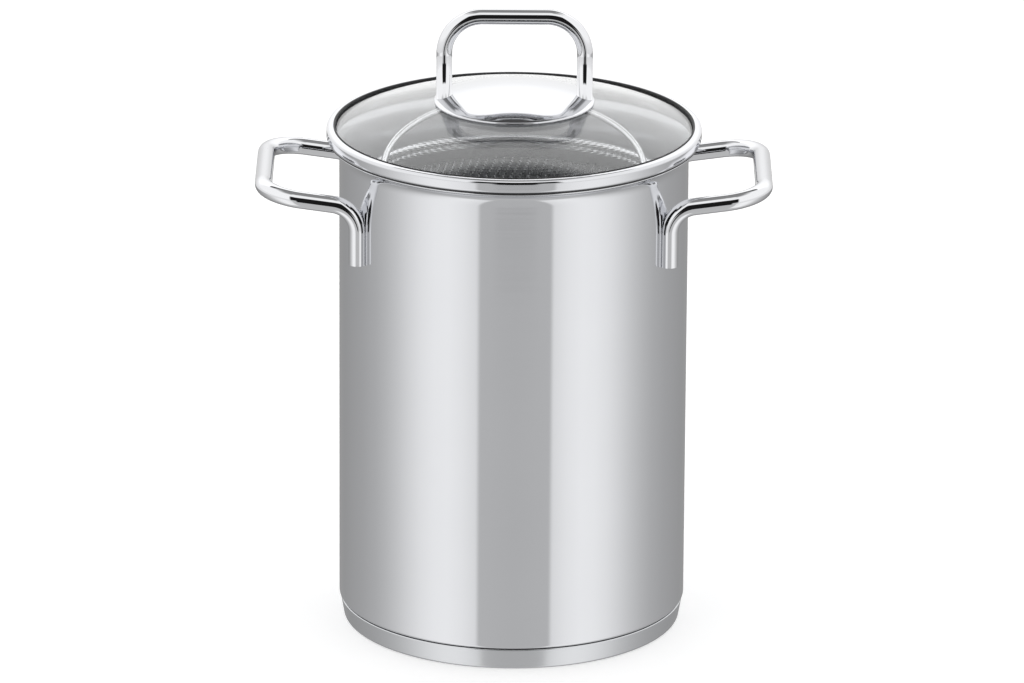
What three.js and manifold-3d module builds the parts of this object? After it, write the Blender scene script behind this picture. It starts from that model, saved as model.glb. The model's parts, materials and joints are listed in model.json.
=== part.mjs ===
// A tall stainless steel pot with a glass lid and a lift-out mesh basket that has a folding bail.
// Millimetres, +Z up. The origin is the middle of the base, on the surface that the pot stands on.
// +X points to the right side handle and -Y to the front. Everything is shown closed and at rest.
import * as THREE from 'three';
import { mergeVertices } from 'three/addons/utils/BufferGeometryUtils.js';
import Module from 'manifold-3d';

// Clearance and facets
const GAP = 0.3;                  // space left between pieces that touch
const SIDES_LARGE = 48;           // facets round the pot, lid and basket
const SIDES_SMALL = 24;           // facets round the fittings in the middle of the lid
const SIDES_BAR = 8;              // facets round a bent bar
const BEND_STEP = 4;              // length of one step along a bent bar

// Pot shell, drawn from one sheet
const POT_RADIUS = 80;            // inside
const POT_WALL = 0.8;
const POT_OUTER = POT_RADIUS + POT_WALL;
const POT_UNDERSIDE = 10.3;
const POT_CORNER = 1.5;           // outside radius where the floor meets the wall
const FLARE_START = 224.7;        // height where the wall begins to curl outwards
const FLARE_RADIUS = 8;
const FLARE_SWEEP = 67;           // degrees

// Sandwich base
const BASE_TOP = POT_UNDERSIDE - GAP;
const BASE_TOP_RADIUS = 80.2;
const BASE_FOOT_RADIUS = 78.7;
const BASE_EDGE = 1.5;            // edge radius at the foot
const BASE_SKIN = 0.8;

// Side handles
const SIDE_BAR = 8;               // bar diameter
const SIDE_STUB_X = 71.6;
const SIDE_STUB_Y = 41.5;
const SIDE_STUB_END = 184;        // lower end of the stubs
const SIDE_ELBOW_Z = 211.5;
const SIDE_GRIP_X = 115.2;
const SIDE_GRIP_Z = 217.4;
const SIDE_ELBOW_BEND = 13;
const SIDE_GRIP_BEND = 18;

// Basket
const RIM_RADIUS = 69;
const RIM_WIRE = 3.4;             // wire diameter
const RIM_Z = 212;
const BASKET_INNER = 67.3;
const BASKET_SHEET = 0.8;
const COLLAR_BOTTOM = 202.4;
const BASE_BAND_TOP = 22;
const FLOOR_SHEET = 1;

// Bail, a half circle of wire that leans back under the lid
const BAIL_WIRE = 3;
const BAIL_RADIUS = 60.2;
const BAIL_PIN_END = 69.3;
const BAIL_PIN_BEND = 2.5;
const BAIL_REACH = BAIL_PIN_BEND + BAIL_RADIUS;   // from the pivot to the middle of the grip
const BAIL_PIVOT_Z = 215.6;
const BAIL_LEAN = 74;             // degrees back from upright

// Ears that carry the bail
const EAR_OUTER_X = 66.8;
const EAR_THICKNESS = 1;
const EAR_HALF_WIDTH = 4.6;
const EAR_BOTTOM = 203.5;

// Lid glass, a shallow dome
const GLASS_APEX = 252.75;
const GLASS_DOME = 240;           // radius of curvature
const GLASS_RADIUS = 84.6;
const GLASS_THICKNESS = 3.5;
const GLASS_HOLE = 5.2;           // radius

// Steel band round the glass
const BAND_RADIUS = 86.7;
const BAND_TOP = 239;
const BAND_BOTTOM = 232.7;
const BAND_SHEET = 0.7;
const BAND_LIP = 83.2;            // radius of the lip's inner edge, on top of the glass
const BAND_SKIRT = 81.9;          // outside radius of the skirt that centres the lid in the rim
const BAND_SKIRT_END = 230.4;
const SEAL_BOTTOM = 234;          // of the ring between the glass and the band
const SEAL_TOP = 237.2;

// Lid handle and its round plate
const PLATE_RADIUS = 37;
const PLATE_APEX = 257.4;
const PLATE_DOME = 110;           // radius of curvature
const PLATE_SHEET = 1;
const PLATE_EDGE_Z = 250.3;
const PLATE_EDGE_ROUNDING = 0.2;
const PLATE_EDGE_FILLET = 0.6;    // under the dome, where the edge turns down
const LID_BAR = 7.3;              // bar diameter
const LID_LEG_X = 32.4;
const LID_GRIP_Z = 290.9;
const LID_BEND = 17.5;

// Fixing through the middle of the lid
const BOSS_RADIUS = 4.6;
const BOSS_ROOF = 1.2;            // thickness over the end of the bore
const SCREW_RADIUS = 2.5;
const SCREW_HEAD = 5;             // radius
const SCREW_HEAD_HEIGHT = 2.7;
const WASHER_RADIUS = 10;
const WASHER_THICKNESS = 1.1;
const LOWER_SEAL_RADIUS = 11;
const LOWER_SEAL_THICKNESS = 1.5;
const UPPER_SEAL_RADIUS = 15;

const wasm = await Module();
wasm.setup();

function finish(color, roughness, metalness) {
  return new THREE.MeshStandardMaterial({ color, roughness, metalness });
}

const polishedSteel = () => finish(0xd8dadb, 0.08, 1);
const satinSteel = () => finish(0xb9bbbd, 0.3, 1);
const meshSteel = () => finish(0xa9abad, 0.25, 1);
const silicone = () => finish(0x232427, 0.7, 0);

function clearGlass() {
  const glass = finish(0xe6efee, 0.03, 0);
  glass.transparent = true;
  glass.opacity = 0.3;
  return glass;
}

function named(name, geometry, material) {
  const mesh = new THREE.Mesh(geometry, material);
  mesh.name = name;
  return mesh;
}

const point = (radius, height) => new THREE.Vector2(radius, height);

// Points along an arc of a section, angles in degrees from the outward direction.
function arc(radius, height, bend, from, to, steps) {
  return Array.from({ length: steps + 1 }, (_, i) => {
    const angle = THREE.MathUtils.degToRad(from + ((to - from) * i) / steps);
    return point(radius + bend * Math.cos(angle), height + bend * Math.sin(angle));
  });
}

const domeHeight = (apex, curvature, radius) =>
  apex - curvature + Math.sqrt(curvature ** 2 - radius ** 2);

// Points along a domed surface, from one radius to another.
function dome(apex, curvature, from, to, steps) {
  return Array.from({ length: steps + 1 }, (_, i) => {
    const radius = from + ((to - from) * i) / steps;
    return point(radius, domeHeight(apex, curvature, radius));
  });
}

// A piece turned about Z from a section of (radius, height) points, taken counter-clockwise.
function turnedGeometry(section, sides) {
  return new THREE.LatheGeometry(section, sides).rotateX(Math.PI / 2);
}

function turned(name, material, section, sides = SIDES_LARGE) {
  return named(name, turnedGeometry(section, sides), material);
}

// A ring of rectangular section.
function ring(name, material, inner, outer, bottom, top, sides = SIDES_LARGE) {
  const section = [
    point(inner, bottom), point(outer, bottom), point(outer, top), point(inner, top),
    point(inner, bottom),
  ];
  return turned(name, material, section, sides);
}

// The circular bend of a bar where two straights would meet at a corner.
class Bend extends THREE.Curve {
  constructor(corner, before, after, radius) {
    super();
    this.radius = radius;
    this.heading = before;
    this.turn = before.angleTo(after);
    const inset = radius * Math.tan(this.turn / 2);
    this.side = after.clone().addScaledVector(before, -after.dot(before)).normalize();
    this.start = corner.clone().addScaledVector(before, -inset);
    this.end = corner.clone().addScaledVector(after, inset);
    this.centre = this.start.clone().addScaledVector(this.side, radius);
  }

  getPoint(t, target = new THREE.Vector3()) {
    const angle = t * this.turn;
    return target.copy(this.centre)
      .addScaledVector(this.side, -this.radius * Math.cos(angle))
      .addScaledVector(this.heading, this.radius * Math.sin(angle));
  }
}

// The centre line of a bar that runs through corners, with one bend radius for each inner corner.
function bentLine(corners, radii) {
  const line = new THREE.CurvePath();
  const heading = (i) => corners[i + 1].clone().sub(corners[i]).normalize();
  let from = corners[0];
  const addStraight = (to) => {
    if (from.distanceTo(to) > 1e-6) line.add(new THREE.LineCurve3(from, to));
  };
  radii.forEach((radius, i) => {
    const bend = new Bend(corners[i + 1], heading(i), heading(i + 1), radius);
    addStraight(bend.start);
    line.add(bend);
    from = bend.end;
  });
  addStraight(corners[corners.length - 1]);
  return line;
}

function barGeometry(line, diameter) {
  const section = new THREE.Shape(Array.from({ length: SIDES_BAR }, (_, i) => {
    const angle = (2 * Math.PI * i) / SIDES_BAR;
    return new THREE.Vector2(Math.cos(angle), Math.sin(angle)).multiplyScalar(diameter / 2);
  }));
  const steps = Math.round(line.getLength() / BEND_STEP);
  return new THREE.ExtrudeGeometry(section, { extrudePath: line, steps });
}

function solid(geometry) {
  const bare = geometry.clone();
  bare.deleteAttribute('normal');
  bare.deleteAttribute('uv');
  const welded = mergeVertices(bare, 1e-4);
  return new wasm.Manifold(new wasm.Mesh({
    numProp: 3,
    vertProperties: new Float32Array(welded.attributes.position.array),
    triVerts: new Uint32Array(welded.index.array),
  }));
}

function cut(geometry, cutter) {
  const result = solid(geometry).subtract(solid(cutter)).getMesh();
  const left = new THREE.BufferGeometry();
  left.setAttribute('position', new THREE.BufferAttribute(result.vertProperties, 3));
  left.setIndex(new THREE.BufferAttribute(result.triVerts, 1));
  left.computeVertexNormals();
  return left;
}

// The drawn shell: floor, wall and a rim that flares out for pouring.
function potBody() {
  const flareCentre = POT_RADIUS + FLARE_RADIUS;
  const flareEnd = 180 - FLARE_SWEEP;
  const cornerRadius = POT_OUTER - POT_CORNER;
  const cornerHeight = POT_UNDERSIDE + POT_CORNER;
  return turned('pot_body', polishedSteel(), [
    point(0, POT_UNDERSIDE),
    ...arc(cornerRadius, cornerHeight, POT_CORNER, -90, 0, 3),
    ...arc(flareCentre, FLARE_START, FLARE_RADIUS - POT_WALL, 180, flareEnd, 5),
    ...arc(flareCentre, FLARE_START, FLARE_RADIUS, flareEnd, 180, 5),
    ...arc(cornerRadius, cornerHeight, POT_CORNER - POT_WALL, 0, -90, 3),
    point(0, POT_UNDERSIDE + POT_WALL),
  ]);
}

// The steel cup pressed round the aluminium core of the base.
function baseCap() {
  const footCentre = BASE_FOOT_RADIUS - BASE_EDGE;
  return turned('base_cap', satinSteel(), [
    point(0, 0),
    ...arc(footCentre, BASE_EDGE, BASE_EDGE, -90, 0, 3),
    point(BASE_TOP_RADIUS, BASE_TOP),
    point(BASE_TOP_RADIUS - BASE_SKIN, BASE_TOP),
    ...arc(footCentre, BASE_EDGE, BASE_EDGE - BASE_SKIN, 0, -90, 2),
    point(0, BASE_SKIN),
  ]);
}

function baseCore() {
  const bottom = BASE_SKIN + GAP;
  const radius = BASE_FOOT_RADIUS - BASE_EDGE;
  return turned('base_core', finish(0xc4c6c8, 0.45, 1), [
    point(0, bottom), point(radius, bottom), point(radius, BASE_TOP), point(0, BASE_TOP),
  ]);
}

// A side handle is one bar: two upright stubs welded to the wall, two legs and a grip.
// The stubs are ground to fit the wall.
function sideHandle(name, side) {
  const corner = (x, y, z) => new THREE.Vector3(side * x, y, z);
  const line = bentLine([
    corner(SIDE_STUB_X, -SIDE_STUB_Y, SIDE_STUB_END),
    corner(SIDE_STUB_X, -SIDE_STUB_Y, SIDE_ELBOW_Z),
    corner(SIDE_GRIP_X, -SIDE_STUB_Y, SIDE_GRIP_Z),
    corner(SIDE_GRIP_X, SIDE_STUB_Y, SIDE_GRIP_Z),
    corner(SIDE_STUB_X, SIDE_STUB_Y, SIDE_ELBOW_Z),
    corner(SIDE_STUB_X, SIDE_STUB_Y, SIDE_STUB_END),
  ], [SIDE_ELBOW_BEND, SIDE_GRIP_BEND, SIDE_GRIP_BEND, SIDE_ELBOW_BEND]);
  const wall = turnedGeometry([
    point(0, 0), point(POT_OUTER + GAP, 0), point(POT_OUTER + GAP, FLARE_START), point(0, FLARE_START),
  ], SIDES_LARGE);
  return named(name, cut(barGeometry(line, SIDE_BAR), wall), polishedSteel());
}

function basketRim() {
  const wire = arc(RIM_RADIUS, RIM_Z, RIM_WIRE / 2, 0, 360, 6);
  return turned('basket_rim', polishedSteel(), wire);
}

// The wall is one closed tube here; it stands for the woven wire mesh.
function basketShell() {
  const outer = BASKET_INNER + BASKET_SHEET;
  const bottom = POT_UNDERSIDE + POT_WALL + GAP;
  const floorBottom = bottom + BASKET_SHEET;
  const floorRadius = BASKET_INNER - GAP;
  const collarTop = RIM_Z - RIM_WIRE / 2 - GAP;
  return [
    ring('basket_collar', polishedSteel(), BASKET_INNER, outer, COLLAR_BOTTOM, collarTop),
    ring('basket_wall', meshSteel(), BASKET_INNER, outer, BASE_BAND_TOP + GAP, COLLAR_BOTTOM - GAP),
    ring('basket_base_band', polishedSteel(), BASKET_INNER, outer, bottom, BASE_BAND_TOP),
    turned('basket_floor', meshSteel(), [
      point(0, floorBottom), point(floorRadius, floorBottom),
      point(floorRadius, floorBottom + FLOOR_SHEET), point(0, floorBottom + FLOOR_SHEET),
    ]),
  ];
}

// A tab with a round top and a hole for the bail's pin, standing inside the collar.
function bailEar(name, side) {
  const outline = new THREE.Shape();
  outline.moveTo(EAR_HALF_WIDTH, EAR_BOTTOM);
  outline.absarc(0, BAIL_PIVOT_Z, EAR_HALF_WIDTH, 0, Math.PI, false);
  outline.lineTo(-EAR_HALF_WIDTH, EAR_BOTTOM);
  const hole = new THREE.Path();
  hole.absarc(0, BAIL_PIVOT_Z, BAIL_WIRE / 2 + GAP, 0, 2 * Math.PI, true);
  outline.holes.push(hole);
  const plate = new THREE.ExtrudeGeometry(outline, {
    depth: EAR_THICKNESS, bevelEnabled: false, curveSegments: 6,
  });
  const alongY = new THREE.Vector3(0, 1, 0);
  const alongZ = new THREE.Vector3(0, 0, 1);
  const alongX = new THREE.Vector3(1, 0, 0);
  plate.applyMatrix4(new THREE.Matrix4().makeBasis(alongY, alongZ, alongX));
  const ear = named(name, plate, polishedSteel());
  ear.position.x = side > 0 ? EAR_OUTER_X - EAR_THICKNESS : -EAR_OUTER_X;
  return ear;
}

// The bail is drawn upright about its pivot and then leans back to its resting place.
function bail() {
  const corner = (x, z) => new THREE.Vector3(x, 0, z);
  const line = bentLine([
    corner(-BAIL_PIN_END, 0), corner(-BAIL_RADIUS, 0), corner(-BAIL_RADIUS, BAIL_REACH),
    corner(BAIL_RADIUS, BAIL_REACH), corner(BAIL_RADIUS, 0), corner(BAIL_PIN_END, 0),
  ], [BAIL_PIN_BEND, BAIL_RADIUS, BAIL_RADIUS, BAIL_PIN_BEND]);
  const pivot = new THREE.Group();
  pivot.position.z = BAIL_PIVOT_Z;
  pivot.rotation.x = -THREE.MathUtils.degToRad(BAIL_LEAN);
  pivot.add(named('bail', barGeometry(line, BAIL_WIRE), polishedSteel()));
  return pivot;
}

function lidGlass() {
  const underside = GLASS_APEX - GLASS_THICKNESS;
  const upper = dome(GLASS_APEX, GLASS_DOME, GLASS_RADIUS, GLASS_HOLE, 5);
  const lower = dome(underside, GLASS_DOME, GLASS_HOLE, GLASS_RADIUS, 5);
  return turned('lid_glass', clearGlass(), [...lower, ...upper, lower[0]]);
}

// A rolled channel that holds the glass, with a skirt below that drops into the pot's rim.
function lidBand() {
  const topBend = 2;
  const bottomBend = 1.5;
  const topCentre = [BAND_RADIUS - topBend, BAND_TOP - topBend];
  const bottomCentre = [BAND_RADIUS - bottomBend, BAND_BOTTOM + bottomBend];
  return turned('lid_band', polishedSteel(), [
    point(BAND_SKIRT, BAND_SKIRT_END),
    point(BAND_SKIRT, BAND_BOTTOM),
    ...arc(...bottomCentre, bottomBend, -90, 0, 2),
    ...arc(...topCentre, topBend, 0, 90, 3),
    point(BAND_LIP, BAND_TOP),
    point(BAND_LIP, BAND_TOP - BAND_SHEET),
    ...arc(...topCentre, topBend - BAND_SHEET, 90, 0, 2),
    ...arc(...bottomCentre, bottomBend - BAND_SHEET, 0, -90, 1),
    point(BAND_SKIRT - BAND_SHEET, BAND_BOTTOM + BAND_SHEET),
    point(BAND_SKIRT - BAND_SHEET, BAND_SKIRT_END),
    point(BAND_SKIRT, BAND_SKIRT_END),
  ]);
}

// The silicone ring between the edge of the glass and the band.
function glassSeal() {
  const inner = GLASS_RADIUS + GAP;
  const outer = BAND_RADIUS - BAND_SHEET - GAP;
  return ring('glass_seal', silicone(), inner, outer, SEAL_BOTTOM, SEAL_TOP);
}

// The polished domed plate under the lid handle.
function handlePlate() {
  const underside = PLATE_APEX - PLATE_SHEET;
  const edgeInner = PLATE_RADIUS - PLATE_SHEET;
  return turned('handle_plate', polishedSteel(), [
    ...dome(underside, PLATE_DOME - PLATE_SHEET, 0, edgeInner - PLATE_EDGE_FILLET, 3),
    point(edgeInner, PLATE_EDGE_Z),
    point(PLATE_RADIUS, PLATE_EDGE_Z),
    ...dome(PLATE_APEX, PLATE_DOME, PLATE_RADIUS - PLATE_EDGE_ROUNDING, 0, 4),
  ]);
}

// One bar bent to a square arch, its feet shaped to the plate they are welded to.
function lidHandle() {
  const corner = (x, z) => new THREE.Vector3(x, 0, z);
  const line = bentLine([
    corner(-LID_LEG_X, PLATE_EDGE_Z), corner(-LID_LEG_X, LID_GRIP_Z),
    corner(LID_LEG_X, LID_GRIP_Z), corner(LID_LEG_X, PLATE_EDGE_Z),
  ], [LID_BEND, LID_BEND]);
  const below = turnedGeometry([
    point(0, PLATE_EDGE_Z - LID_BAR),
    point(PLATE_RADIUS + LID_BAR, PLATE_EDGE_Z - LID_BAR),
    ...dome(PLATE_APEX + GAP, PLATE_DOME, PLATE_RADIUS + LID_BAR, 0, 12),
  ], SIDES_LARGE);
  return named('lid_handle', cut(barGeometry(line, LID_BAR), below), polishedSteel());
}

// The screw comes up from inside the lid through a washer and a seal into the plate's boss.
function lidFixing() {
  const sealTop = GLASS_APEX - GLASS_THICKNESS - 2 * GAP;
  const sealBottom = sealTop - LOWER_SEAL_THICKNESS;
  const washerTop = sealBottom - GAP;
  const washerBottom = washerTop - WASHER_THICKNESS;
  const headTop = washerBottom - GAP;
  const headBottom = headTop - SCREW_HEAD_HEIGHT;
  const boreTop = PLATE_APEX - PLATE_SHEET - BOSS_ROOF;
  const bossTop = PLATE_APEX - PLATE_SHEET - GAP;
  const bossBottom = washerTop + GAP;
  const bossBore = SCREW_RADIUS + GAP;
  const upperSealBottom = GLASS_APEX + GAP;
  const underPlate = (radius) => domeHeight(bossTop, PLATE_DOME, radius);
  const sealInner = BOSS_RADIUS + 2 * GAP;
  return [
    turned('handle_boss', satinSteel(), [
      point(0, boreTop), point(bossBore, boreTop), point(bossBore, bossBottom),
      point(BOSS_RADIUS, bossBottom), point(BOSS_RADIUS, underPlate(BOSS_RADIUS)),
      point(0, underPlate(0)),
    ], SIDES_SMALL),
    turned('upper_seal', silicone(), [
      point(sealInner, upperSealBottom), point(UPPER_SEAL_RADIUS, upperSealBottom),
      point(UPPER_SEAL_RADIUS, underPlate(UPPER_SEAL_RADIUS)),
      point(sealInner, underPlate(sealInner)), point(sealInner, upperSealBottom),
    ], SIDES_SMALL),
    ring('lower_seal', silicone(), sealInner, LOWER_SEAL_RADIUS, sealBottom, sealTop, SIDES_SMALL),
    ring('lid_washer', satinSteel(), bossBore, WASHER_RADIUS, washerBottom, washerTop, SIDES_SMALL),
    turned('lid_screw', satinSteel(), [
      point(0, headBottom), point(SCREW_HEAD - 1, headBottom), point(SCREW_HEAD, headBottom + 1),
      point(SCREW_HEAD, headTop), point(SCREW_RADIUS, headTop),
      point(SCREW_RADIUS, boreTop - GAP), point(0, boreTop - GAP),
    ], SIDES_SMALL),
  ];
}

const pot = new THREE.Group();
pot.add(
  potBody(), baseCap(), baseCore(),
  sideHandle('side_handle_left', -1), sideHandle('side_handle_right', 1),
);

const basket = new THREE.Group();
basket.add(
  basketRim(), ...basketShell(),
  bailEar('bail_ear_left', -1), bailEar('bail_ear_right', 1), bail(),
);

const lid = new THREE.Group();
lid.add(lidGlass(), lidBand(), glassSeal(), handlePlate(), lidHandle(), ...lidFixing());

const canner = new THREE.Group();
canner.add(pot, basket, lid);

export default canner;
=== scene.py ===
"""A tall polished steel pot with a glass lid and a mesh basket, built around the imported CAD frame.

Metres, +Z up, in the same frame as the CAD. Each visible CAD node is replaced by a finer piece of the
same size. Sizes come from the frame and from the few named values in the first section.
"""
import json
import math

import bpy
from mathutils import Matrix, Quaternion, Vector


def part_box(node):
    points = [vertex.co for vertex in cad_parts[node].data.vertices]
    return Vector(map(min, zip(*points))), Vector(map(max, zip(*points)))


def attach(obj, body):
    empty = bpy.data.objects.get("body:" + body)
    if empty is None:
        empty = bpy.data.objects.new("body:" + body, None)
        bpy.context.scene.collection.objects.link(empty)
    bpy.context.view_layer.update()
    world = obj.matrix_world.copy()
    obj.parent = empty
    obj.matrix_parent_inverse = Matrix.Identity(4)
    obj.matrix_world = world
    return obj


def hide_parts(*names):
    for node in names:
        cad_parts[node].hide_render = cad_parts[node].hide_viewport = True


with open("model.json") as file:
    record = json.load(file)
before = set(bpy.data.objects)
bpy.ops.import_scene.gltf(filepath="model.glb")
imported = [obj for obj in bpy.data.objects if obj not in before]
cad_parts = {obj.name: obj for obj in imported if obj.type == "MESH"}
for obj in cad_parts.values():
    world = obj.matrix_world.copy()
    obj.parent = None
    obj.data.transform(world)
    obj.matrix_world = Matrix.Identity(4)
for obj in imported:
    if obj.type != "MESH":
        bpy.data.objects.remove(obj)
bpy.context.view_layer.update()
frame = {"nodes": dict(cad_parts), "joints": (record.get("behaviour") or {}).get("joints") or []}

# ------------------------------------------------------------------------------------------- sizes
MM = 0.001
SIDES = 256                     # facets round a large turned piece
SMALL_SIDES = 96                # facets round a small turned piece
BAR_SIDES = 40                  # facets round a bent bar
SUPPORT = 0.25 * MM             # distance of the shading support rows from the ends of a straight
SEAT = 0.02 * MM                # how far a piece stands off the surface that it sits on


def low(node):
    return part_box(node)[0]


def high(node):
    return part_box(node)[1]


def radii(node, lowest, highest):
    """Distances from the pot's axis of a node's points between two heights."""
    points = [p.co for p in frame["nodes"][node].data.vertices]
    return [math.hypot(p.x, p.y) for p in points if lowest <= p.z <= highest]


# Pot and base
BASE_TOP = high("base_cap").z
BASE_TOP_RADIUS = high("base_cap").x
BASE_FOOT_RADIUS = max(radii("base_cap", 1 * MM, 2 * MM))
BASE_EDGE = 1.5 * MM
POT_UNDERSIDE = low("pot_body").z
POT_TOP = high("pot_body").z
POT_OUTER = max(radii("pot_body", POT_UNDERSIDE, POT_UNDERSIDE + 5 * MM))
POT_WALL = 0.8 * MM
POT_CORNER = 1.5 * MM
FLARE = 8 * MM                  # inside radius of the curl at the rim
FLARE_SWEEP = 67                # degrees

# Side handles
SIDE_BAR = 8 * MM
SIDE_ELBOW_BEND = 13 * MM
SIDE_GRIP_BEND = 18 * MM
SIDE_STUB_X = 71.6 * MM
SIDE_STUB_Y = high("side_handle_right").y - SIDE_BAR / 2
SIDE_STUB_END = low("side_handle_right").z
SIDE_GRIP_X = high("side_handle_right").x - SIDE_BAR / 2
SIDE_GRIP_Z = high("side_handle_right").z - SIDE_BAR / 2
SIDE_RISE = 5.9 * MM            # how far the legs climb from the elbow to the grip

# Basket
RIM_WIRE = 3.4 * MM
RIM_RADIUS = high("basket_rim").x - RIM_WIRE / 2
RIM_Z = (low("basket_rim").z + high("basket_rim").z) / 2
COLLAR = (low("basket_collar").z, high("basket_collar").z)
FOOT_BAND = (low("basket_base_band").z, high("basket_base_band").z)
BASKET_BAND = 1.8 * MM          # thickness of the collar and of the foot band
WEAVE_RADIUS = (high("basket_wall").x + min(radii("basket_wall", 0, 1))) / 2
WEAVE_WIRE = 0.6 * MM
WEAVE_COLUMNS = 106             # wires in each direction round the wall
WEAVE_ROW = 3.65 * MM           # height from one crossing of a wire to the next
FLOOR_Z = (low("basket_floor").z + high("basket_floor").z) / 2
FLOOR_RADIUS = high("basket_floor").x
FLOOR_PITCH = 3.6 * MM

# Bail
BAIL_WIRE = 3 * MM
BAIL_JOINT = next(j for j in frame["joints"] if j["name"] == "bail_swing")
BAIL_PIVOT = Vector(BAIL_JOINT["pos_m"])
BAIL_LEAN = math.radians(BAIL_JOINT["range_deg"][1])
BAIL_RADIUS = 60.2 * MM
BAIL_PIN_END = high("bail").x
BAIL_PIN_BEND = 2.5 * MM
BAIL_REACH = BAIL_PIN_BEND + BAIL_RADIUS

# Lid
GLASS_DOME = 240 * MM
GLASS_RADIUS = high("lid_glass").x
GLASS_HOLE = min(radii("lid_glass", 0, 1))
GLASS_THICKNESS = 3.5 * MM
GLASS_APEX = high("lid_glass").z + GLASS_DOME - math.sqrt(GLASS_DOME ** 2 - GLASS_HOLE ** 2)
BAND_RADIUS = high("lid_band").x
BAND_TOP = high("lid_band").z
BAND_SKIRT_END = low("lid_band").z
BAND_BOTTOM = BAND_SKIRT_END + 2.3 * MM
BAND_SKIRT = 81.9 * MM
BAND_LIP = 83.2 * MM
BAND_SHEET = 0.7 * MM
PLATE_DOME = 110 * MM
PLATE_RADIUS = high("handle_plate").x
PLATE_APEX = high("handle_plate").z
PLATE_EDGE_Z = low("handle_plate").z
PLATE_SHEET = 1 * MM
LID_BAR = 7.3 * MM
LID_LEG_X = high("lid_handle").x - LID_BAR / 2
LID_GRIP_Z = high("lid_handle").z - LID_BAR / 2
LID_BEND = 17.5 * MM


# -------------------------------------------------------------------------------------- mesh tools
def arc(radius, height, bend, start, end, steps=10):
    """Points of an arc in a section, with angles in degrees from the outward direction."""
    angles = [math.radians(start + (end - start) * i / steps) for i in range(steps + 1)]
    return [(radius + bend * math.cos(a), height + bend * math.sin(a)) for a in angles]


def dome_height(apex, curvature, radius):
    return apex - curvature + math.sqrt(curvature ** 2 - radius ** 2)


def dome(apex, curvature, start, end, steps=24):
    """Points of a domed surface from one radius to another."""
    spread = [start + (end - start) * i / steps for i in range(steps + 1)]
    return [(r, dome_height(apex, curvature, r)) for r in spread]


def supported(points):
    """Adds a point near each end of every long straight, so that smooth shading stays true on it."""
    kept = [Vector(points[0])]
    for start, end in zip(points, points[1:]):
        start, end = Vector(start), Vector(end)
        length = (end - start).length
        if length < 1e-7:
            continue
        if length > 8 * SUPPORT:
            kept.append(start.lerp(end, SUPPORT / length))
            kept.append(end.lerp(start, SUPPORT / length))
        kept.append(end)
    return kept


def mesh_piece(name, points, faces, sharp=35):
    """A smooth-shaded mesh object, creased where its faces meet at more than sharp degrees."""
    mesh = bpy.data.meshes.new(name)
    mesh.from_pydata(points, [], faces)
    mesh.validate()
    mesh.shade_smooth()
    mesh.set_sharp_from_angle(angle=math.radians(sharp))
    piece = bpy.data.objects.new(name, mesh)
    bpy.context.scene.collection.objects.link(piece)
    return piece


def turned(name, outline, sides=SIDES):
    """A piece turned about Z from (radius, height) points taken counter-clockwise."""
    section = supported(outline)
    closed = (section[0] - section[-1]).length < 1e-7
    if closed:
        section.pop()
    points, rings = [], []
    for radius, height in section:
        if radius < 1e-7:
            rings.append([len(points)] * sides)
            points.append((0, 0, height))
            continue
        rings.append(range(len(points), len(points) + sides))
        for i in range(sides):
            angle = 2 * math.pi * i / sides
            points.append((radius * math.cos(angle), radius * math.sin(angle), height))
    faces = []
    following = rings[1:] + rings[:1] if closed else rings[1:]
    for lower, upper in zip(rings, following):
        for i in range(sides):
            j = (i + 1) % sides
            corners = (lower[i], lower[j], upper[j], upper[i])
            faces.append(tuple(dict.fromkeys(corners)))
    return mesh_piece(name, points, [f for f in faces if len(f) > 2])


def bent_path(corners, bends, step=4):
    """Points along straights that circular bends join at the inner corners; step is in degrees."""
    path = [corners[0]]
    for before, corner, after, bend in zip(corners, corners[1:], corners[2:], bends):
        heading = (corner - before).normalized()
        leaving = (after - corner).normalized()
        turn = heading.angle(leaving)
        start = corner - heading * bend * math.tan(turn / 2)
        side = (leaving - heading * heading.dot(leaving)).normalized()
        centre = start + side * bend
        count = round(math.degrees(turn) / step)
        for i in range(count + 1):
            angle = turn * i / count
            offset = heading * math.sin(angle) - side * math.cos(angle)
            path.append(centre + offset * bend)
    path.append(corners[-1])
    return path


def ring_frames(path, closed):
    """For each point of a path, two directions across it that don't twist along it."""
    count = len(path)
    tangents = []
    for i in range(count):
        after = path[(i + 1) % count] if closed or i < count - 1 else path[i]
        before = path[i - 1] if closed or i > 0 else path[i]
        tangents.append((after - before).normalized())
    first = tangents[0]
    guide = Vector((0, 0, 1)) if abs(first.z) < 0.9 else Vector((0, 1, 0))
    across = (guide - first * guide.dot(first)).normalized()
    frames = []
    for tangent in tangents:
        across = (across - tangent * across.dot(tangent)).normalized()
        frames.append((tangent, across, tangent.cross(across)))
    return frames


def rounded_ends(path, radius, rounding, steps=5):
    """Pairs of (point, radius) along an open path, with the radius drawn in at both ends."""
    first = (path[0] - path[1]).normalized()
    last = (path[-1] - path[-2]).normalized()
    start, end = path[0] - first * rounding, path[-1] - last * rounding
    turns = [math.pi / 2 * i / steps for i in range(1, steps + 1)]
    spread = [(math.sin(t) * rounding, radius - rounding + math.cos(t) * rounding) for t in turns]
    head = [(start + first * along, size) for along, size in reversed(spread)]
    tail = [(end + last * along, size) for along, size in spread]
    return head + [(start, radius)] + [(p, radius) for p in path[1:-1]] + [(end, radius)] + tail


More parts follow.
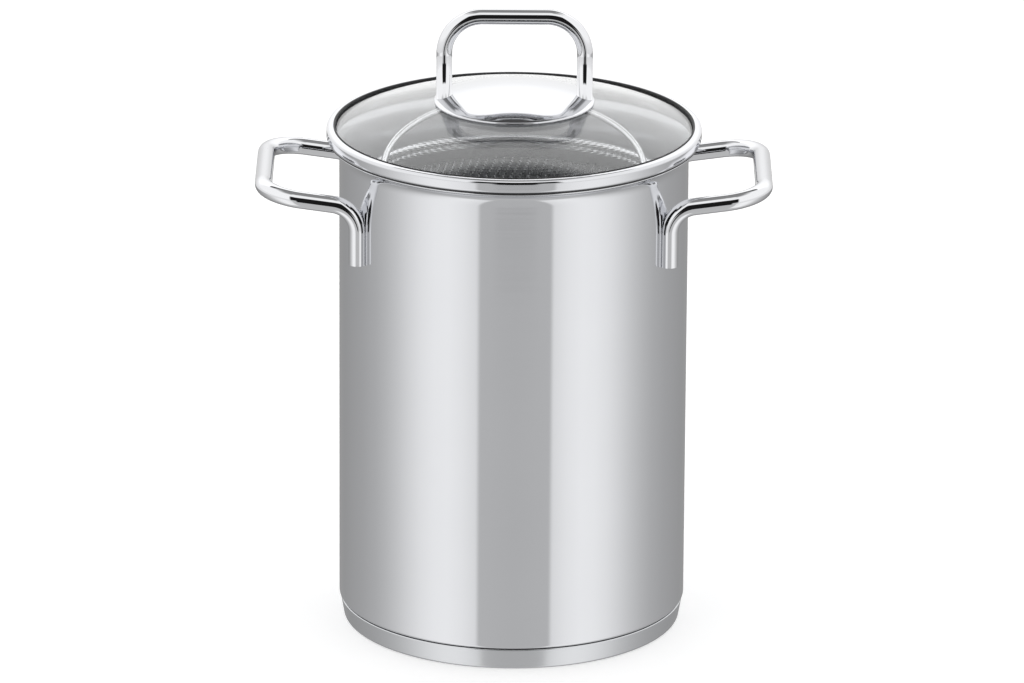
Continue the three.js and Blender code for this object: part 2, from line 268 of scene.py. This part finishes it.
def bar(name, path, diameter, rounding=0.6 * MM, sides=BAR_SIDES, closed=False):
    """A round bar along a path."""
    if closed:
        stations = [(p, diameter / 2) for p in path]
    else:
        stations = rounded_ends(supported(path), diameter / 2, rounding)
    frames = ring_frames([p for p, _ in stations], closed)
    points = []
    for (centre, radius), (_, across, up) in zip(stations, frames):
        for i in range(sides):
            angle = 2 * math.pi * i / sides
            points.append(centre + (across * math.cos(angle) + up * math.sin(angle)) * radius)
    count = len(stations)
    faces = []
    for row in range(count if closed else count - 1):
        here, there = row * sides, (row + 1) % count * sides
        for i in range(sides):
            j = (i + 1) % sides
            faces.append((here + i, here + j, there + j, there + i))
    if not closed:
        faces.append(tuple(reversed(range(sides))))
        faces.append(tuple(range((count - 1) * sides, count * sides)))
    return mesh_piece(name, points, faces)


def placed(piece, body, slot, *nodes):
    """Puts a piece on its CAD body, in its material slot, in place of its CAD nodes."""
    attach(piece, body)
    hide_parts(*nodes)
    piece.data.materials.append(FINISHES[slot])
    return piece


# --------------------------------------------------------------------------------------- materials
NOISE = (0.3, 0.7)              # nearly all the values of a noise texture lie between these
LINE_SHARE = 0.6                # of the gloss of steel that follows its lines; haze makes up the rest
GLOSS_RANGE = (0.7, 1.35)       # least and most roughness of steel, against its mean
HAZE_SHADE = 0.965              # how bright the haze leaves steel


class Nodes:
    """A short way to add nodes and links to a node tree."""

    def __init__(self, tree):
        self.tree = tree
        tree.nodes.clear()

    def add(self, kind, inputs=(), **settings):
        node = self.tree.nodes.new("ShaderNode" + kind)
        for name, value in settings.items():
            setattr(node, name, value)
        for socket, value in dict(inputs).items():
            self.set(node.inputs[socket], value)
        return node

    def set(self, socket, value):
        if isinstance(value, bpy.types.NodeSocket):
            self.tree.links.new(value, socket)
        else:
            socket.default_value = value

    def math(self, operation, *values):
        node = self.add("Math", dict(enumerate(values)), operation=operation)
        return node.outputs[0]

    def spread(self, value, start, end, low=0.0, high=1.0, smooth=True):
        """value between start and end, mapped onto low to high."""
        kind = "SMOOTHSTEP" if smooth else "LINEAR"
        sockets = {0: value, 1: start, 2: end, 3: low, 4: high}
        return self.add("MapRange", sockets, interpolation_type=kind).outputs[0]

    def ramp(self, value, stops):
        """A grey curve through (position, brightness) stops."""
        node = self.add("ValToRGB", {0: value})
        line = node.color_ramp
        while len(line.elements) < len(stops):
            line.elements.new(0.5)
        for element, (position, grey) in zip(line.elements, stops):
            element.position = position
            element.color = (grey, grey, grey, 1)
        return node.outputs[0]

    def mix(self, share, first, second):
        node = self.add("Mix", {0: share, 6: first, 7: second}, data_type="RGBA")
        return node.outputs[2]


def new_material(name):
    material = bpy.data.materials.new(name)
    material.use_nodes = True
    return material, Nodes(material.node_tree)


def turning_coordinates(n, slow, fine):
    """Coordinates that change slowly round the axis and finely up and across it, for turned steel."""
    here = n.add("TexCoord").outputs["Object"]
    split = n.add("SeparateXYZ", {0: here})
    flat = n.add("CombineXYZ", {0: split.outputs[0], 1: split.outputs[1]}).outputs[0]
    radius = n.add("VectorMath", {0: flat}, operation="LENGTH").outputs["Value"]
    height_share = 1.3              # not 1, so that a slope of 45 degrees keeps its lines
    line = n.math("MULTIPLY_ADD", split.outputs[2], height_share, radius)
    stretched = [n.math("MULTIPLY", split.outputs[i], slow) for i in (0, 1)]
    stretched.append(n.math("MULTIPLY", line, fine))
    return n.add("CombineXYZ", dict(enumerate(stretched))).outputs[0]


def steel(name, colour, roughness, relief, slow=9, fine=900, turned_lines=True, edge=1.0, metal=1.0):
    """Stainless steel with fine polishing lines and a faint haze.

    edge is how bright it is at a slant; metal below 1 gives a matt surface more even light.
    """
    material, n = new_material(name)
    if turned_lines:
        where = turning_coordinates(n, slow, fine)
    else:
        where = n.add("Mapping", {0: n.add("TexCoord").outputs["Object"], 3: (slow, slow, fine)}).outputs[0]
    lines = n.add("TexNoise", {"Vector": where, "Scale": 1.0, "Detail": 4.0, "Roughness": 0.6}).outputs[0]
    here = n.add("TexCoord").outputs["Object"]
    haze = n.add("TexNoise", {"Vector": here, "Scale": 22.0, "Detail": 3.0}).outputs[0]
    both = n.math("ADD", n.math("MULTIPLY", lines, LINE_SHARE), n.math("MULTIPLY", haze, 1 - LINE_SHARE))
    least, most = (roughness * share for share in GLOSS_RANGE)
    shine = n.spread(both, *NOISE, least, most, smooth=False)
    darker = tuple(c * HAZE_SHADE for c in colour) + (1,)
    tint = n.mix(haze, colour + (1,), darker)
    bump = n.add("Bump", {"Strength": 1.0, "Distance": relief, "Height": lines}).outputs[0]
    shader = n.add("BsdfPrincipled", {
        "Base Color": tint, "Roughness": shine, "Normal": bump, "Metallic": metal,
        "Specular Tint": (edge, edge, edge, 1),
    })
    n.add("OutputMaterial", {0: shader.outputs[0]})
    return material


def clear_glass(name):
    """Tempered glass with a slight waviness. It throws only a faint shadow."""
    material, n = new_material(name)
    here = n.add("TexCoord").outputs["Object"]
    wave = n.add("TexNoise", {"Vector": here, "Scale": 18.0, "Detail": 1.0}).outputs[0]
    bump = n.add("Bump", {"Strength": 1.0, "Distance": 0.0000004, "Height": wave}).outputs[0]
    shine = n.spread(wave, *NOISE, 0.0, 0.02, smooth=False)
    shader = n.add("BsdfPrincipled", {
        "Base Color": (0.955, 0.965, 0.972, 1), "Roughness": shine, "Normal": bump,
        "Transmission Weight": 1.0, "IOR": 1.52,
    })
    open_way = n.add("BsdfTransparent", {0: (0.93, 0.94, 0.945, 1)})
    shadow = n.add("LightPath").outputs["Is Shadow Ray"]
    both = n.add("MixShader", {0: shadow, 1: shader.outputs[0], 2: open_way.outputs[0]})
    n.add("OutputMaterial", {0: both.outputs[0]})
    return material


def silicone(name):
    material, n = new_material(name)
    here = n.add("TexCoord").outputs["Object"]
    grain = n.add("TexNoise", {"Vector": here, "Scale": 1600.0, "Detail": 2.0}).outputs[0]
    cloud = n.add("TexNoise", {"Vector": here, "Scale": 60.0, "Detail": 2.0}).outputs[0]
    tint = n.mix(cloud, (0.012, 0.012, 0.013, 1), (0.03, 0.03, 0.032, 1))
    bump = n.add("Bump", {"Strength": 0.4, "Distance": 0.00005, "Height": grain}).outputs[0]
    shine = n.spread(grain, *NOISE, 0.45, 0.62, smooth=False)
    shader = n.add("BsdfPrincipled", {"Base Color": tint, "Roughness": shine, "Normal": bump})
    n.add("OutputMaterial", {0: shader.outputs[0]})
    return material


def pale_floor(name):
    material, n = new_material(name)
    here = n.add("TexCoord").outputs["Object"]
    cloud = n.add("TexNoise", {"Vector": here, "Scale": 3.0, "Detail": 3.0}).outputs[0]
    tint = n.mix(cloud, (0.90, 0.90, 0.90, 1), (0.93, 0.93, 0.93, 1))
    shader = n.add("BsdfPrincipled", {
        "Base Color": tint, "Roughness": 0.9, "Specular IOR Level": 0.0,
        "Emission Color": tint, "Emission Strength": 0.36,
    })
    n.add("OutputMaterial", {0: shader.outputs[0]})
    return material


FINISHES = {
    "polished_steel": steel("polished_steel", (0.735, 0.742, 0.763), 0.06, 0.0000006),
    "inside_steel": steel("inside_steel", (0.68, 0.685, 0.70), 0.2, 0.000002, fine=1200, metal=0.6),
    "base_steel": steel("base_steel", (0.69, 0.70, 0.718), 0.17, 0.0000012, fine=2500),
    "satin_steel": steel("satin_steel", (0.60, 0.605, 0.61), 0.26, 0.000004, fine=2500),
    "aluminium": steel("aluminium", (0.75, 0.75, 0.76), 0.35, 0.000006, fine=1500),
    "handle_bar": steel("handle_bar", (0.815, 0.82, 0.838), 0.045, 0.0000004, 60, 60, False, 0.7),
    "basket_wire": steel("basket_wire", (0.82, 0.82, 0.825), 0.2, 0.0000004, 40, 40, False),
    "basket_sheet": steel("basket_sheet", (0.58, 0.585, 0.59), 0.22, 0.000003, fine=1800),
    # The weave's wire steel in two copies of one material: a dark one that is painted shade and a bright
    # one that is painted glint, for the two families of wires.
    "basket_mesh": steel("basket_mesh", (0.27, 0.275, 0.28), 0.35, 0.000001, 120, 120, False),
    "painted_glint_mesh": steel("painted_glint_mesh", (0.93, 0.93, 0.935), 0.4, 0.000001, 120, 120, False, metal=0.7),
    "lid_glass": clear_glass("lid_glass"),
    "silicone": silicone("silicone"),
}


# -------------------------------------------------------------------------------------- the pot
def pot_shell():
    """The drawn shell, with its floor, wall and flared rim."""
    centre = POT_OUTER - POT_WALL + FLARE
    start = POT_TOP - FLARE * math.sin(math.radians(FLARE_SWEEP))
    end = 180 - FLARE_SWEEP
    tip = math.radians(end)
    lip = FLARE - POT_WALL / 2
    lip_centre = (centre + lip * math.cos(tip), start + lip * math.sin(tip))
    corner = (POT_OUTER - POT_CORNER, POT_UNDERSIDE + POT_CORNER)
    outline = [(0, POT_UNDERSIDE)]
    outline += arc(*corner, POT_CORNER, -90, 0)
    outline += arc(centre, start, FLARE - POT_WALL, 180, end, 16)
    outline += arc(*lip_centre, POT_WALL / 2, end - 180, end, 6)[1:-1]
    outline += arc(centre, start, FLARE, end, 180, 16)
    outline += arc(*corner, POT_CORNER - POT_WALL, 0, -90)
    outline += [(0, POT_UNDERSIDE + POT_WALL)]
    return turned("pot_shell", outline)


def base_cup():
    """The pressed cup of the base, with a rolled top edge and turned rings on its underside."""
    skin = 0.8 * MM
    groove = 0.25 * MM
    foot = (BASE_FOOT_RADIUS - BASE_EDGE, BASE_EDGE)
    step = 1 * MM
    outline = [(0, groove)]
    for ring in (14 * MM, 44 * MM):
        outline += [(ring, groove), (ring + step, 0)]
    outline += arc(*foot, BASE_EDGE, -90, -8, 10)
    outline += arc(BASE_TOP_RADIUS - skin / 2, BASE_TOP - skin / 2, skin / 2, 0, 180, 8)
    outline += arc(*foot, BASE_EDGE - skin, 0, -90, 6)
    outline += [(0, skin)]
    return turned("base_cup", outline)


def seat_on_wall(piece):
    """Grinds the inner side of the stubs to the pot's wall."""
    for point in piece.data.vertices:
        radius = math.hypot(point.co.x, point.co.y)
        if radius < POT_OUTER + SEAT:
            point.co.x *= (POT_OUTER + SEAT) / radius
            point.co.y *= (POT_OUTER + SEAT) / radius


def side_grip(name, side):
    elbow = SIDE_GRIP_Z - SIDE_RISE
    half = [
        (SIDE_STUB_X, SIDE_STUB_END), (SIDE_STUB_X, elbow), (SIDE_GRIP_X, SIDE_GRIP_Z),
    ]
    near = [Vector((side * x, -SIDE_STUB_Y, z)) for x, z in half]
    far = [Vector((side * x, SIDE_STUB_Y, z)) for x, z in reversed(half)]
    bends = [SIDE_ELBOW_BEND, SIDE_GRIP_BEND, SIDE_GRIP_BEND, SIDE_ELBOW_BEND]
    piece = bar(name, bent_path(near + far, bends), SIDE_BAR)
    seat_on_wall(piece)
    return piece


# ------------------------------------------------------------------------------------ the basket
def circle(radius, height, count=SIDES):
    angles = [2 * math.pi * i / count for i in range(count)]
    return [Vector((radius * math.cos(a), radius * math.sin(a), height)) for a in angles]


def folded_band(name, lowest, highest):
    """A band folded over the edge of the weave, with round edges."""
    half = BASKET_BAND / 2
    outline = arc(WEAVE_RADIUS, lowest + half, half, -180, 0, 12)
    outline += arc(WEAVE_RADIUS, highest - half, half, 0, 180, 12)
    outline.append(outline[0])
    return turned(name, outline)


def wire_mesh(name, wires, diameter):
    """Many thin wires of four sides in one mesh; each wire is a list of (point, outward)."""
    half = diameter / 2
    points, faces = [], []
    for wire in wires:
        base, count = len(points), len(wire)
        for i, (here, outward) in enumerate(wire):
            along = (wire[min(i + 1, count - 1)][0] - wire[max(i - 1, 0)][0]).normalized()
            across = along.cross(outward).normalized() * half
            up = across.cross(along).normalized() * half
            points += [here + up, here + across, here - up, here - across]
        for i in range(count - 1):
            for k in range(4):
                a, b = base + 4 * i + k, base + 4 * i + (k + 1) % 4
                faces.append((a, a + 4, b + 4, b))
        faces.append((base, base + 1, base + 2, base + 3))
        end = base + 4 * (count - 1)
        faces.append((end + 3, end + 2, end + 1, end))
    return mesh_piece(name, points, faces, sharp=100)


def basket_weave():
    """The wall's diagonal plain weave: two families of wires that pass over and under in turn."""
    hidden = 4 * MM                 # how far the wires run into the bands
    start, end = FOOT_BAND[1] - hidden, COLLAR[0] + hidden
    rows = round((end - start) / WEAVE_ROW)
    row = (end - start) / rows
    wires = []
    for slant in (1, -1):
        for column in range(WEAVE_COLUMNS):
            wire = []
            for half_step in range(2 * rows + 1):
                angle = 2 * math.pi / WEAVE_COLUMNS * (column + slant * half_step / 4)
                over = slant * math.cos(math.pi * half_step / 2) * WEAVE_WIRE / 2
                outward = Vector((math.cos(angle), math.sin(angle), 0))
                place = outward * (WEAVE_RADIUS + over)
                place.z = start + row * half_step / 2
                wire.append((place, outward))
            wires.append(wire)
    return wire_mesh("basket_weave", wires, WEAVE_WIRE)


def floor_weave():
    """The floor's square plain weave, cut to a circle."""
    count = int(FLOOR_RADIUS / FLOOR_PITCH)
    up = Vector((0, 0, 1))
    wires = []
    for turn in (1, -1):
        for line in range(-count, count + 1):
            reach = int(math.sqrt(FLOOR_RADIUS ** 2 - (line * FLOOR_PITCH) ** 2) / FLOOR_PITCH * 2)
            wire = []
            for half_step in range(-reach, reach + 1):
                along, across = half_step / 2 * FLOOR_PITCH, line * FLOOR_PITCH
                over = turn * math.cos(math.pi * (half_step / 2 + line)) * WEAVE_WIRE / 2
                spot = (along, across) if turn == 1 else (across, along)
                wire.append((Vector((*spot, FLOOR_Z + over)), up))
            wires.append(wire)
    return wire_mesh("floor_weave", wires, WEAVE_WIRE)


def bail_ear(name, side):
    """A tab with a round top and a hole for the bail's pin."""
    inner = low("bail_ear_right").x
    thick = high("bail_ear_right").x - inner
    half = high("bail_ear_right").y
    foot = low("bail_ear_right").z
    hole = BAIL_WIRE / 2 + 0.3 * MM
    count = 48
    outside, inside = [], []
    for i in range(count):
        angle = 2 * math.pi * i / count
        y, z = math.cos(angle), math.sin(angle)
        inside.append((hole * y, BAIL_PIVOT.z + hole * z))
        if z >= 0:
            outside.append((half * y, BAIL_PIVOT.z + half * z))
        else:
            drop = BAIL_PIVOT.z - foot
            reach = min(half / max(abs(y), 1e-6), drop / abs(z))
            outside.append((reach * y, BAIL_PIVOT.z + reach * z))
    points, faces = [], []
    for loop, x in ((outside, inner), (outside, inner + thick), (inside, inner + thick), (inside, inner)):
        points += [(side * x, y, z) for y, z in loop]
    for layer in range(4):
        here, there = layer * count, (layer + 1) % 4 * count
        for i in range(count):
            j = (i + 1) % count
            face = (here + i, here + j, there + j, there + i)
            faces.append(face if side > 0 else tuple(reversed(face)))
    piece = mesh_piece(name, points, faces)
    rounding = piece.modifiers.new("rounding", "BEVEL")
    rounding.width, rounding.segments, rounding.angle_limit = 0.25 * MM, 3, math.radians(50)
    return piece


def bail_wire():
    """The bail, drawn upright about its pivot and then leant back to rest."""
    corners = [
        (-BAIL_PIN_END, 0), (-BAIL_RADIUS, 0), (-BAIL_RADIUS, BAIL_REACH),
        (BAIL_RADIUS, BAIL_REACH), (BAIL_RADIUS, 0), (BAIL_PIN_END, 0),
    ]
    bends = [BAIL_PIN_BEND, BAIL_RADIUS, BAIL_RADIUS, BAIL_PIN_BEND]
    flat = bent_path([Vector((x, 0, s)) for x, s in corners], bends)
    lean = Vector((0, math.sin(BAIL_LEAN), math.cos(BAIL_LEAN)))
    path = [BAIL_PIVOT + Vector((p.x, 0, 0)) + lean * p.z for p in flat]
    return bar("bail_wire", path, BAIL_WIRE, 0.5 * MM, 24)


# ---------------------------------------------------------------------------------------- the lid
def glass_dome():
    edge = 0.6 * MM
    upper = dome(GLASS_APEX, GLASS_DOME, GLASS_RADIUS - edge, GLASS_HOLE + edge, 40)
    lower = dome(GLASS_APEX - GLASS_THICKNESS, GLASS_DOME, GLASS_HOLE + edge, GLASS_RADIUS - edge, 40)
    outer = [(GLASS_RADIUS, lower[-1][1] + edge), (GLASS_RADIUS, upper[0][1] - edge)]
    inner = [(GLASS_HOLE, upper[-1][1] - edge), (GLASS_HOLE, lower[0][1] + edge)]
    return turned("glass_dome", lower + outer + upper + inner + [lower[0]])


def glass_band():
    """The rolled channel round the glass, with its skirt."""
    top_bend, bottom_bend = 1.8 * MM, 1.5 * MM
    top = (BAND_RADIUS - top_bend, BAND_TOP - top_bend)
    foot = (BAND_RADIUS - bottom_bend, BAND_BOTTOM + bottom_bend)
    half = BAND_SHEET / 2
    outline = arc(BAND_SKIRT - half, BAND_SKIRT_END + half, half, -180, 0, 6)
    outline += [(BAND_SKIRT, BAND_BOTTOM)]
    outline += arc(*foot, bottom_bend, -90, 0)
    outline += arc(*top, top_bend, 0, 90, 14)
    outline += arc(BAND_LIP + half, BAND_TOP - half, half, 90, 270, 8)
    outline += arc(*top, top_bend - BAND_SHEET, 90, 0)
    outline += arc(*foot, bottom_bend - BAND_SHEET, 0, -90)
    outline += [(BAND_SKIRT - BAND_SHEET, BAND_BOTTOM + BAND_SHEET), outline[0]]
    return turned("glass_band", outline)


def glazing_ring():
    """The black silicone between the glass and the band, with a bead that shows inside the lip."""
    inner, outer = GLASS_RADIUS + 0.1 * MM, BAND_RADIUS - BAND_SHEET
    bottom, top = BAND_BOTTOM + BAND_SHEET, high("glass_seal").z
    lip_top = BAND_TOP - BAND_SHEET
    bead = 0.6 * MM
    bead_in = BAND_LIP - 0.6 * MM
    glass_edge = dome_height(GLASS_APEX, GLASS_DOME, bead_in) + SEAT
    outline = [
        (inner, bottom), (outer, bottom), (outer, top), (outer - 1 * MM, lip_top), (BAND_LIP, lip_top),
    ]
    outline += arc(bead_in + bead, glass_edge + bead, bead, 60, 200, 8)
    outline += [(bead_in, glass_edge), (GLASS_RADIUS - 0.4 * MM, top - 0.6 * MM), (inner, bottom)]
    return turned("glazing_ring", outline)


def painted_shadow_lip():
    """A ring of black silicone under the band, where the lid meets the pot's rim: painted shadow, a dark
    sheet that stands in for the shade in the gap under the band.
    """
    inner, outer = BAND_RADIUS - 2 * MM, BAND_RADIUS - 0.8 * MM
    bottom, top = BAND_BOTTOM - 0.5 * MM, BAND_BOTTOM + 0.25 * MM
    edge = 0.15 * MM
    outline = [(inner, bottom)] + arc(outer - edge, bottom + edge, edge, -90, 0, 3)
    outline += [(outer, top), (inner, top), (inner, bottom)]
    return turned("painted_shadow_lip", outline)


def grip_plate():
    """The polished domed plate, with a small edge turned down to the glass."""
    rounding, chamfer = 0.5 * MM, 0.1 * MM
    edge = PLATE_RADIUS - rounding
    edge_top = dome_height(PLATE_APEX, PLATE_DOME, edge)
    inner = PLATE_RADIUS - PLATE_SHEET
    outline = dome(PLATE_APEX - PLATE_SHEET, PLATE_DOME - PLATE_SHEET, 0, inner)
    outline += [(inner, PLATE_EDGE_Z + chamfer), (inner + chamfer, PLATE_EDGE_Z)]
    outline += [(PLATE_RADIUS - chamfer, PLATE_EDGE_Z), (PLATE_RADIUS, PLATE_EDGE_Z + chamfer)]
    outline += arc(edge, edge_top - rounding, rounding, 0, 70, 8)
    outline += dome(PLATE_APEX, PLATE_DOME, edge, 0, 32)[1:]
    return turned("grip_plate", outline)


def lid_grip():
    """One bar bent to a square arch, its feet fitted to the plate."""
    foot = PLATE_EDGE_Z + 0.5 * MM
    corners = [
        Vector((-LID_LEG_X, 0, foot)), Vector((-LID_LEG_X, 0, LID_GRIP_Z)),
        Vector((LID_LEG_X, 0, LID_GRIP_Z)), Vector((LID_LEG_X, 0, foot)),
    ]
    piece = bar("lid_grip", bent_path(corners, [LID_BEND] * 2, 3), LID_BAR, 0.05 * MM)
    for point in piece.data.vertices:
        ground = dome_height(PLATE_APEX, PLATE_DOME, math.hypot(point.co.x, point.co.y)) + SEAT
        point.co.z = max(point.co.z, ground)
    return piece


def washer(name, node, rounding=0.3 * MM):
    """A flat ring of a CAD node's size, with rounded edges."""
    inner, outer = min(radii(node, 0, 1)), high(node).x
    bottom, top = low(node).z, high(node).z
    outline = arc(outer - rounding, bottom + rounding, rounding, -90, 0, 5)
    outline += arc(outer - rounding, top - rounding, rounding, 0, 90, 5)
    outline += [(inner, top), (inner, bottom), outline[0]]
    return turned(name, outline, SMALL_SIDES)


def threaded_boss():
    inner, outer = 2.7 * MM, high("handle_boss").x
    bottom, top = low("handle_boss").z, high("handle_boss").z
    bore_top = top - 0.9 * MM
    chamfer = 0.4 * MM
    outline = [(0, bore_top), (inner, bore_top), (inner, bottom), (outer - chamfer, bottom)]
    outline += [(outer, bottom + chamfer), (outer, top), (0, top)]
    return turned("threaded_boss", outline, SMALL_SIDES)


def pan_screw():
    """A pan-head screw with a hexagon socket, its head facing down."""
    head, shank = high("lid_screw").x, 2.5 * MM
    bottom, top = low("lid_screw").z, high("lid_screw").z
    head_top = low("lid_washer").z - 0.05 * MM
    socket, depth = 1.7 * MM, 1.6 * MM
    land, rounding, chamfer = 0.6 * MM, 1 * MM, 0.4 * MM
    rows = [(0, bottom + depth, True), (socket, bottom + depth, True), (socket, bottom, True)]
    outline = [(socket + land, bottom)]
    outline += arc(head - rounding, bottom + rounding, rounding, -90, 0, 8)
    outline += [(head, head_top), (shank, head_top), (shank, top - chamfer)]
    outline += [(shank - chamfer, top), (0, top)]
    rows += [(r, z, False) for r, z in outline]
    points, faces = [], []
    for radius, height, six_sided in rows:
        for i in range(SMALL_SIDES):
            angle = 2 * math.pi * i / SMALL_SIDES
            corner = (angle + math.pi / 6) % (math.pi / 3) - math.pi / 6
            reach = radius / math.cos(corner) if six_sided else radius
            points.append((reach * math.cos(angle), reach * math.sin(angle), height))
    for row in range(len(rows) - 1):
        for i in range(SMALL_SIDES):
            j = (i + 1) % SMALL_SIDES
            here, there = row * SMALL_SIDES, (row + 1) * SMALL_SIDES
            faces.append((here + i, here + j, there + j, there + i))
    return mesh_piece("pan_screw", points, faces)


# ------------------------------------------------------------------------------------- the studio
PANEL_SHIFT = math.radians(1.5)     # how far right of the front the panels are centred
DARK = 0.012                        # brightness of the room behind the camera
PANEL = 0.58                        # brightness of the grey panel low in front
CEILING = 0.26

# Brightness against degrees above the horizon: in front, at the sides and behind.
FRONT_LIGHT = (
    (-14, PANEL), (-3, PANEL), (1, DARK), (39, DARK), (44, 1.1), (70, 1.05), (80, 0.28), (90, CEILING),
)
SIDE_LIGHT = (
    (-14, 0.85), (-2, 0.95), (6, 1.1), (60, 1.1), (75, 0.3), (90, CEILING),
)
BACK_LIGHT = (
    (-14, 0.95), (0, 1.05), (10, 1.15), (20, 1.35), (50.5, 1.4), (52, 0.08), (58, 0.08),
    (62, 0.3), (90, CEILING),
)
FRONT_TO_SIDE = (24.5, 30)          # where one gives way to the next, in degrees from the front
SIDE_TO_BACK = (115, 140)

# Brightness of what lies further below the horizon, against degrees from the front.
LOW_LIGHT = (
    (0, 0.56), (23, 0.58), (25.5, 0.92), (35, 1.03), (45, 1.09), (55, 1.07), (65, 0.99),
    (75, 0.86), (85, 0.72), (95, 0.61), (105, 0.53), (120, 0.46), (150, 0.37), (180, 0.33),
)
LOW_TO_LEVEL = (-15, -14.5)         # degrees above the horizon
DOWN_TO_LOW = (-75, -60)

# A doorway to the dark room, straight in front, lower than the rest of it.
DOORWAY_JAMB = (10, 16)             # degrees from the front
DOORWAY_SILL = (-17.1, -16.6)       # degrees above the horizon
DOORWAY_HEAD = (20, 30)


def studio_world():
    """What the steel mirrors: white panels all round, a grey one low in front, and a dark room.

    The backdrop itself looks plain white.
    """
    world = bpy.data.worlds.new("studio")
    bpy.context.scene.world = world
    world.use_nodes = True
    n = Nodes(world.node_tree)
    split = n.add("SeparateXYZ", {0: n.add("TexCoord").outputs["Generated"]})
    across, along, up = split.outputs
    azimuth = n.math("ARCTAN2", across, n.math("MULTIPLY", along, -1.0))
    azimuth = n.math("ABSOLUTE", n.math("SUBTRACT", azimuth, PANEL_SHIFT))
    turn = n.math("DIVIDE", azimuth, math.pi)
    rise = n.math("MULTIPLY", n.math("ARCSINE", up), 180 / math.pi)
    height = n.math("MULTIPLY_ADD", rise, 1 / 180, 0.5)

    def turned_past(edges, low=0.0, high=1.0):
        return n.spread(turn, edges[0] / 180, edges[1] / 180, low, high)

    front, side, back = (
        n.ramp(height, [(0.5 + angle / 180, grey) for angle, grey in light])
        for light in (FRONT_LIGHT, SIDE_LIGHT, BACK_LIGHT)
    )
    level = n.mix(turned_past(FRONT_TO_SIDE), front, side)
    level = n.mix(turned_past(SIDE_TO_BACK), level, back)
    lower = n.ramp(turn, [(angle / 180, grey) for angle, grey in LOW_LIGHT])
    lower = n.mix(n.spread(rise, *DOWN_TO_LOW), (PANEL, PANEL, PANEL, 1), lower)
    colour = n.mix(n.spread(rise, *LOW_TO_LEVEL), lower, level)
    doorway = n.math("MULTIPLY", turned_past(DOORWAY_JAMB, 1, 0), n.spread(rise, *DOORWAY_SILL))
    doorway = n.math("MULTIPLY", doorway, n.spread(rise, *DOORWAY_HEAD, 1, 0))
    colour = n.mix(doorway, colour, (DARK, DARK, DARK, 1))
    seen = n.add("LightPath").outputs["Is Camera Ray"]
    colour = n.mix(seen, colour, (1, 1, 1, 1))
    n.add("OutputWorld", {0: n.add("Background", {0: colour}).outputs[0]})


def studio_floor():
    half = 6
    corners = [(-half, -half, 0), (half, -half, 0), (half, half, 0), (-half, half, 0)]
    floor = mesh_piece("studio_floor", corners, [(0, 1, 2, 3)])
    floor.data.materials.append(pale_floor("pale_floor"))
    floor.visible_glossy = False


def studio_camera():
    """The camera of the front view: long lens, looking down on the lid."""
    distance, elevation, roll = 4.0, math.radians(18.74), math.radians(0.35)
    aim = Vector((-0.0004, 0, 0.1333))
    data = bpy.data.cameras.new("camera")
    data.lens, data.sensor_width = 301.6, 36
    camera = bpy.data.objects.new("camera", data)
    bpy.context.scene.collection.objects.link(camera)
    centre = Vector((0, 0, 0.12))
    camera.location = centre + distance * Vector((0, -math.cos(elevation), math.sin(elevation)))
    camera.rotation_mode = "QUATERNION"
    look = (aim - camera.location).to_track_quat("-Z", "Y")
    camera.rotation_quaternion = look @ Quaternion((0, 0, 1), roll)
    bpy.context.scene.camera = camera


# ------------------------------------------------------------------------------------ assembly
shell = placed(pot_shell(), "pot", "polished_steel", "pot_body")
shell.data.materials.append(FINISHES["inside_steel"])
for face in shell.data.polygons:
    faces_in = face.normal.x * face.center.x + face.normal.y * face.center.y < 0
    is_floor = face.normal.z > 0.7 and face.center.z < POT_UNDERSIDE + POT_CORNER
    if faces_in or is_floor:
        face.material_index = 1
base = placed(base_cup(), "pot", "satin_steel", "base_cap")
base.data.materials[0] = FINISHES["base_steel"]     # smoother than the lid's fixings
placed(side_grip("left_side_grip", -1), "pot", "handle_bar", "side_handle_left")
placed(side_grip("right_side_grip", 1), "pot", "handle_bar", "side_handle_right")
frame["nodes"]["base_core"].data.materials[0] = FINISHES["aluminium"]

placed(bar("rim_wire", circle(RIM_RADIUS, RIM_Z), RIM_WIRE, sides=24, closed=True),
       "basket", "basket_wire", "basket_rim")
placed(folded_band("folded_collar", *COLLAR), "basket", "basket_sheet", "basket_collar")
weave = placed(basket_weave(), "basket", "basket_mesh", "basket_wall")
weave.data.materials.append(FINISHES["painted_glint_mesh"])
# The second family of wires takes the bright copy, a painted glint; the first keeps the dark copy, painted
# shade.
for face in weave.data.polygons[len(weave.data.polygons) // 2:]:    # the second family of wires
    face.material_index = 1
placed(folded_band("foot_band", *FOOT_BAND), "basket", "basket_sheet", "basket_base_band")
# The floor weave takes the dark copy too, painted shade.
placed(floor_weave(), "basket", "basket_mesh", "basket_floor")
placed(bail_ear("left_ear", -1), "basket", "basket_sheet", "bail_ear_left")
placed(bail_ear("right_ear", 1), "basket", "basket_sheet", "bail_ear_right")
placed(bail_wire(), "bail", "basket_wire", "bail")

placed(glass_dome(), "lid", "lid_glass", "lid_glass")
placed(glass_band(), "lid", "polished_steel", "lid_band")
placed(glazing_ring(), "lid", "silicone", "glass_seal")
# The dark ring under the band is painted shadow.
placed(painted_shadow_lip(), "lid", "silicone", "glass_seal")
placed(grip_plate(), "lid", "polished_steel", "handle_plate")
placed(lid_grip(), "lid", "handle_bar", "lid_handle")
placed(threaded_boss(), "lid", "satin_steel", "handle_boss")
placed(washer("upper_washer", "upper_seal"), "lid", "silicone", "upper_seal")
placed(washer("lower_washer", "lower_seal"), "lid", "silicone", "lower_seal")
placed(washer("steel_washer", "lid_washer"), "lid", "satin_steel", "lid_washer")
placed(pan_screw(), "lid", "satin_steel", "lid_screw")

studio_world()
studio_floor()
studio_camera()
bpy.context.scene.view_settings.view_transform = "Standard"
